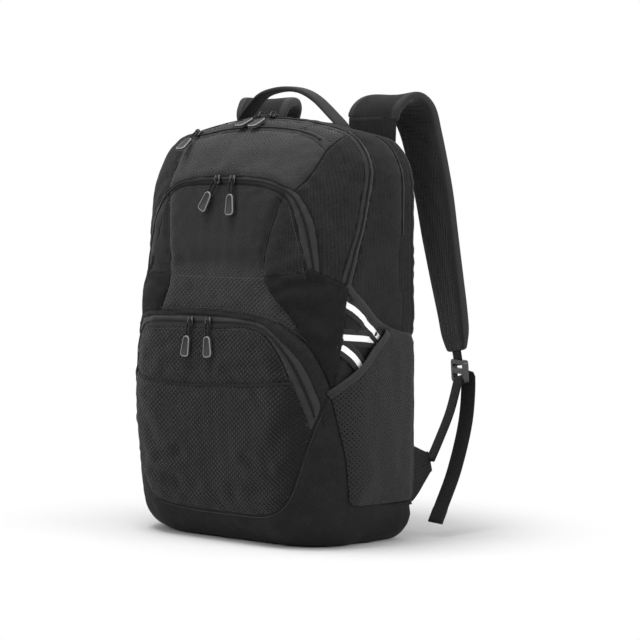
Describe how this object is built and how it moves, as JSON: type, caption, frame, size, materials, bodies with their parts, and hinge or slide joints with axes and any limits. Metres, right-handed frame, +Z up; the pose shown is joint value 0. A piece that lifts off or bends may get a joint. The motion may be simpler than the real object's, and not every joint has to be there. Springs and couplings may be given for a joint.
{
  "type": "school backpack",
  "caption": "Upright school backpack of sewn fabric panels with zipped front pockets, mesh side pockets, a carry handle and padded shoulder straps.",
  "frame": {"origin": "middle of the flat base, on the surface it stands on", "axes": "+Z up, front of the bag towards -Y, +X to the viewer's right when looking at the front"},
  "size_m": [0.3754, 0.2699, 0.516],
  "materials": {
    "shell_fabric": "plain twill weave",
    "smooth_fabric": "tight smooth weave",
    "coarse_texture_fabric": "coarse honeycomb weave",
    "fine_texture_fabric": "fine honeycomb weave",
    "net_mesh": "open knitted net",
    "pad_mesh": "spacer mesh over foam",
    "lining": "plain lining cloth",
    "binding": "woven tape",
    "webbing": "ribbed webbing",
    "zip_tape": "coated zip tape",
    "slider_metal": "dark lacquered zinc",
    "pull_plastic": "moulded soft plastic",
    "buckle_plastic": "moulded plastic"
  },
  "bodies": {
    "root": {"back_panel": "shell_fabric", "back_pad_left": "pad_mesh", "back_pad_right": "pad_mesh", "laptop_gusset": "shell_fabric", "laptop_zip": "zip_tape", "laptop_divider": "lining", "rear_gusset": "shell_fabric", "main_zip_rear": "zip_tape", "base_boot": "smooth_fabric", "inner_front_wall": "lining", "lower_pocket_gusset": "shell_fabric", "lower_front_panel": "coarse_texture_fabric", "side_pocket_mesh_left": "net_mesh", "side_pocket_mesh_right": "net_mesh", "side_pocket_bindings": "binding", "wing_panels": "smooth_fabric", "side_webbings": "webbing", "anchor_wing_left": "smooth_fabric", "anchor_wing_right": "smooth_fabric", "sewn_anchors": "webbing"},
    "lid": {"front_gusset_left": "shell_fabric", "front_gusset_right": "shell_fabric", "main_zip_front": "zip_tape", "upper_front_wall": "lining", "top_pocket_panel": "fine_texture_fabric", "top_pocket_zip": "zip_tape", "upper_pocket_gusset": "shell_fabric"},
    "lower_flap": {"lower_pocket_zip": "zip_tape", "lower_pocket_flap": "coarse_texture_fabric", "slip_pocket_panel": "coarse_texture_fabric"},
    "upper_flap": {"upper_pocket_zip": "zip_tape", "upper_pocket_flap": "fine_texture_fabric"},
    "handle": {"carry_handle": "webbing"},
    "strap_left": {"strap_pad_left": "pad_mesh", "strap_tab_left": "webbing", "ladder_lock_left": "buckle_plastic", "lower_webbing_left": "webbing"},
    "tail_left": {"webbing_tail_left": "webbing"},
    "strap_right": {"strap_pad_right": "pad_mesh", "strap_tab_right": "webbing", "ladder_lock_right": "buckle_plastic", "lower_webbing_right": "webbing"},
    "tail_right": {"webbing_tail_right": "webbing"},
    "slider_lower_left": {"zip_slider_lower_left": "slider_metal"},
    "pull_lower_left": {"zip_pull_lower_left": "pull_plastic"},
    "slider_lower_right": {"zip_slider_lower_right": "slider_metal"},
    "pull_lower_right": {"zip_pull_lower_right": "pull_plastic"},
    "slider_upper_left": {"zip_slider_upper_left": "slider_metal"},
    "pull_upper_left": {"zip_pull_upper_left": "pull_plastic"},
    "slider_upper_right": {"zip_slider_upper_right": "slider_metal"},
    "pull_upper_right": {"zip_pull_upper_right": "pull_plastic"},
    "slider_top": {"zip_slider_top": "slider_metal"},
    "pull_top": {"zip_pull_top": "pull_plastic"},
    "slider_main_left": {"zip_slider_main_left": "slider_metal"},
    "pull_main_left": {"zip_pull_main_left": "pull_plastic"},
    "slider_main_right": {"zip_slider_main_right": "slider_metal"},
    "pull_main_right": {"zip_pull_main_right": "pull_plastic"},
    "slider_laptop": {"zip_slider_laptop": "slider_metal"},
    "pull_laptop": {"zip_pull_laptop": "pull_plastic"}
  },
  "joints": [
    {"name": "lid_tip", "type": "hinge", "parent": "root", "child": "lid", "pos_m": [0, -0.062, 0.289], "axis": [1, 0, 0], "range_deg": [0, 38]},
    {"name": "lower_flap_tip", "type": "hinge", "parent": "root", "child": "lower_flap", "pos_m": [0, -0.092, 0.129], "axis": [1, 0, 0], "range_deg": [0, 50]},
    {"name": "upper_flap_tip", "type": "hinge", "parent": "lid", "child": "upper_flap", "pos_m": [0, -0.0764, 0.2994], "axis": [1, 0, 0], "range_deg": [0, 55]},
    {"name": "handle_swing", "type": "hinge", "parent": "root", "child": "handle", "pos_m": [0, 0.041, 0.482], "axis": [1, 0, 0], "range_deg": [-40, 35]},
    {"name": "strap_swing_right", "type": "hinge", "parent": "root", "child": "strap_right", "pos_m": [0.088, 0.08, 0.482], "axis": [0.1591, 0.0672, -0.985], "range_deg": [-8, 25]},
    {"name": "strap_swing_left", "type": "hinge", "parent": "root", "child": "strap_left", "pos_m": [-0.088, 0.08, 0.482], "axis": [0.1591, -0.0672, 0.985], "range_deg": [-8, 25]},
    {"name": "tail_swing_left", "type": "hinge", "parent": "strap_left", "child": "tail_left", "pos_m": [-0.164, 0.16, 0.186], "axis": [1, 0, 0], "range_deg": [-2, 25]},
    {"name": "tail_swing_right", "type": "hinge", "parent": "strap_right", "child": "tail_right", "pos_m": [0.164, 0.16, 0.186], "axis": [1, 0, 0], "range_deg": [-2, 25]},
    {"name": "slider_lower_left_travel", "type": "slide", "parent": "lower_flap", "child": "slider_lower_left", "axis": [-1, 0, 0], "range_m": [0, 0.03]},
    {"name": "slider_lower_right_travel", "type": "slide", "parent": "lower_flap", "child": "slider_lower_right", "axis": [1, 0, 0], "range_m": [0, 0.06]},
    {"name": "slider_upper_left_travel", "type": "slide", "parent": "upper_flap", "child": "slider_upper_left", "axis": [-1, 0, 0], "range_m": [0, 0.045]},
    {"name": "slider_upper_right_travel", "type": "slide", "parent": "upper_flap", "child": "slider_upper_right", "axis": [1, 0, 0], "range_m": [0, 0.045]},
    {"name": "slider_main_left_travel", "type": "hinge", "parent": "lid", "child": "slider_main_left", "pos_m": [0, -0.003, 0.0599], "axis": [0, 1, 0], "range_deg": [-11, 0]},
    {"name": "slider_main_right_travel", "type": "hinge", "parent": "lid", "child": "slider_main_right", "pos_m": [0, -0.003, 0.0599], "axis": [0, 1, 0], "range_deg": [0, 11]},
    {"name": "slider_top_travel", "type": "hinge", "parent": "lid", "child": "slider_top", "pos_m": [0, -0.046, 0.0599], "axis": [0, 1, 0], "range_deg": [0, 22]},
    {"name": "slider_laptop_travel", "type": "slide", "parent": "root", "child": "slider_laptop", "axis": [0, 0, 1], "range_m": [0, 0.03]},
    {"name": "pull_lower_left_swing", "type": "hinge", "parent": "slider_lower_left", "child": "pull_lower_left", "pos_m": [-0.036, -0.097, 0.251], "axis": [1, 0, 0], "range_deg": [-110, 0]},
    {"name": "pull_lower_right_swing", "type": "hinge", "parent": "slider_lower_right", "child": "pull_lower_right", "pos_m": [-0.009, -0.097, 0.251], "axis": [1, 0, 0], "range_deg": [-110, 0]},
    {"name": "pull_upper_left_swing", "type": "hinge", "parent": "slider_upper_left", "child": "pull_upper_left", "pos_m": [-0.014, -0.0814, 0.404], "axis": [1, 0, 0], "range_deg": [-110, 0]},
    {"name": "pull_upper_right_swing", "type": "hinge", "parent": "slider_upper_right", "child": "pull_upper_right", "pos_m": [0.01, -0.0814, 0.404], "axis": [1, 0, 0], "range_deg": [-110, 0]},
    {"name": "pull_top_swing", "type": "hinge", "parent": "slider_top", "child": "pull_top", "pos_m": [-0.088, -0.05039, 0.46239], "axis": [1, 0, 0], "range_deg": [-100, 0]},
    {"name": "pull_main_left_swing", "type": "hinge", "parent": "slider_main_left", "child": "pull_main_left", "pos_m": [-0.011, -0.003, 0.485], "axis": [1, 0, 0], "range_deg": [-100, 0]},
    {"name": "pull_main_right_swing", "type": "hinge", "parent": "slider_main_right", "child": "pull_main_right", "pos_m": [0.011, -0.003, 0.485], "axis": [1, 0, 0], "range_deg": [-100, 0]},
    {"name": "pull_laptop_swing", "type": "hinge", "parent": "slider_laptop", "child": "pull_laptop", "pos_m": [-0.155, 0.054, 0.352], "axis": [0, 1, 0], "range_deg": [0, 110]}
  ]
}
